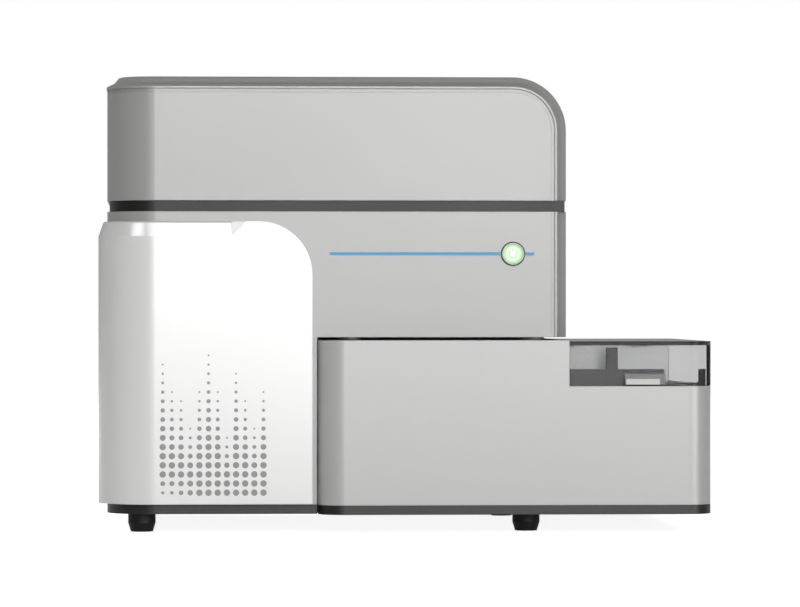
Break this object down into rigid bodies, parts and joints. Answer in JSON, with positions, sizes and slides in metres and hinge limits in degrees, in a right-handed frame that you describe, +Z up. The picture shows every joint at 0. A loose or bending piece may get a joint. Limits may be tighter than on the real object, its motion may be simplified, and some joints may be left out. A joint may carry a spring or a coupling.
{
  "type": "flow cytometer",
  "caption": "Bench-top flow cytometer: coved two-part case with wrap-round white door, lifting hood and a loader with clear cover, rack carriage and sample probe.",
  "frame": {"origin": "on the bench under the middle of the instrument's box, feet at height 0", "axes": "+Z up, the front faces -Y, +X to the viewer's right along the longest side"},
  "size_m": [0.617, 0.45, 0.459],
  "materials": {
    "plinth_dark": "satin",
    "rubber_black": "matt",
    "chassis_sheet": "satin",
    "case_paint": "fine matt",
    "seam_black": "matt",
    "hinge_steel": "brushed",
    "pin_steel": "polished",
    "door_white": "semi gloss",
    "bezel_chrome": "polished",
    "button_lit": "lit through",
    "deck_aluminium": "bead blasted",
    "optic_black": "matt",
    "mirror_glass": "polished",
    "block_metal": "satin",
    "cuvette_glass": "clear",
    "filter_black": "matt",
    "bulkhead_sheet": "satin",
    "pump_light": "matt",
    "rotor_dark": "matt",
    "valve_grey": "matt",
    "filter_clear": "translucent",
    "line_clear": "translucent",
    "board_green": "solder mask",
    "supply_sheet": "satin",
    "fan_black": "matt",
    "inlet_black": "matt",
    "port_metal": "brushed",
    "loader_paint": "fine matt",
    "liner_dark": "satin",
    "cover_clear": "tinted clear",
    "latch_light": "satin",
    "rail_steel": "ground",
    "carriage_aluminium": "satin",
    "rack_blue": "matt",
    "tube_clear": "clear",
    "belt_black": "matt",
    "pulley_metal": "turned",
    "motor_dark": "satin",
    "probe_dark": "satin",
    "sensor_black": "matt"
  },
  "bodies": {
    "chassis": {"body_plinth": "plinth_dark", "loader_plinth": "plinth_dark", "rubber_feet": "rubber_black", "folded_chassis": "chassis_sheet", "housing_left_wrap": "case_paint", "housing_fascia": "case_paint", "right_side_panel": "case_paint", "rear_panel": "case_paint", "seam_band": "seam_black", "hood_hinge_fixed_leaves": "hinge_steel", "hood_hinge_pins": "pin_steel", "door_hinge_brackets": "hinge_steel", "door_hinge_pins": "pin_steel", "button_bezel": "bezel_chrome", "optical_deck": "deck_aluminium", "laser_modules": "optic_black", "mirror_mounts": "mirror_glass", "flow_cell_block": "block_metal", "flow_cell_cuvette": "cuvette_glass", "collection_lens": "optic_black", "scatter_detector": "optic_black", "filter_block": "filter_black", "photomultipliers": "optic_black", "fluidics_bulkhead": "bulkhead_sheet", "pump_body": "pump_light", "pinch_valves": "valve_grey", "sheath_filter": "filter_clear", "bay_tubing": "line_clear", "main_board": "board_green", "power_supply": "supply_sheet", "fan_frame": "fan_black", "power_inlet": "inlet_black", "rear_ports": "port_metal", "loader_shell": "loader_paint", "loader_top_plate": "loader_paint", "loader_cowl": "loader_paint", "tray_liner": "liner_dark", "cover_hinge_pins": "pin_steel", "carriage_rails": "rail_steel", "drive_belt": "belt_black", "tray_motor": "motor_dark", "probe_mast": "rail_steel", "cover_sensor_post": "sensor_black"},
    "hood": {"hood_cap": "case_paint", "hood_fascia": "case_paint", "hood_rear_panel": "case_paint", "hood_hinge_moving_leaves": "hinge_steel"},
    "door": {"door_panel": "door_white"},
    "loader_cover": {"loader_cover": "cover_clear"},
    "cover_latch": {"cover_latch": "latch_light"},
    "power_button": {"power_button_cap": "button_lit"},
    "carriage": {"tray_carriage": "carriage_aluminium", "tube_rack": "rack_blue", "sample_tubes": "tube_clear"},
    "drive_pulley": {"drive_pulley": "pulley_metal"},
    "idler_pulley": {"idler_pulley": "pulley_metal"},
    "sample_probe": {"sample_probe": "probe_dark"},
    "pump_rotor": {"pump_rotor": "rotor_dark"},
    "fan_rotor": {"fan_rotor": "fan_black"},
    "rocker_switch": {"rocker_switch": "inlet_black"}
  },
  "joints": [
    {"name": "hood_lift", "type": "hinge", "parent": "chassis", "child": "hood", "pos_m": [0, 0.2205, 0.3285], "axis": [-1, 0, 0], "range_deg": [0, 70]},
    {"name": "door_swing", "type": "hinge", "parent": "chassis", "child": "door", "pos_m": [-0.3041, -0.075, 0.17], "axis": [0, 0, -1], "range_deg": [0, 100]},
    {"name": "cover_lift", "type": "hinge", "parent": "chassis", "child": "loader_cover", "pos_m": [0.236, 0.1439, 0.1875], "axis": [-1, 0, 0], "range_deg": [0, 80]},
    {"name": "latch_slide", "type": "slide", "parent": "loader_cover", "child": "cover_latch", "axis": [-1, 0, 0], "range_m": [0, 0.003], "stiffness_N_per_m": 150},
    {"name": "button_press", "type": "slide", "parent": "chassis", "child": "power_button", "axis": [0, 1, 0], "range_m": [0, 0.0018], "stiffness_N_per_m": 900},
    {"name": "carriage_slide", "type": "slide", "parent": "chassis", "child": "carriage", "axis": [-1, 0, 0], "range_m": [0, 0.15]},
    {"name": "drive_pulley_spin", "type": "hinge", "parent": "chassis", "child": "drive_pulley", "pos_m": [-0.0425, -0.065, 0.0435], "axis": [0, 0, -1], "range_deg": [0, 800]},
    {"name": "idler_pulley_spin", "type": "hinge", "parent": "chassis", "child": "idler_pulley", "pos_m": [0.2765, -0.065, 0.0435], "axis": [0, 0, -1], "range_deg": [0, 800]},
    {"name": "probe_lower", "type": "slide", "parent": "chassis", "child": "sample_probe", "axis": [0, 0, -1], "range_m": [0, 0.034]},
    {"name": "pump_spin", "type": "hinge", "parent": "chassis", "child": "pump_rotor", "pos_m": [-0.2075, -0.118, 0.2035], "axis": [0, -1, 0], "continuous": true},
    {"name": "fan_spin", "type": "hinge", "parent": "chassis", "child": "fan_rotor", "pos_m": [-0.1545, 0.198, 0.1585], "axis": [0, 1, 0], "continuous": true},
    {"name": "rocker_tilt", "type": "hinge", "parent": "chassis", "child": "rocker_switch", "pos_m": [-0.2115, 0.215, 0.0605], "axis": [1, 0, 0], "range_deg": [-8, 8]}
  ],
  "couplings": [
    {"joint": "drive_pulley_spin", "follows": "carriage_slide", "rad_per_m": 92.593},
    {"joint": "idler_pulley_spin", "follows": "carriage_slide", "rad_per_m": 92.593}
  ]
}
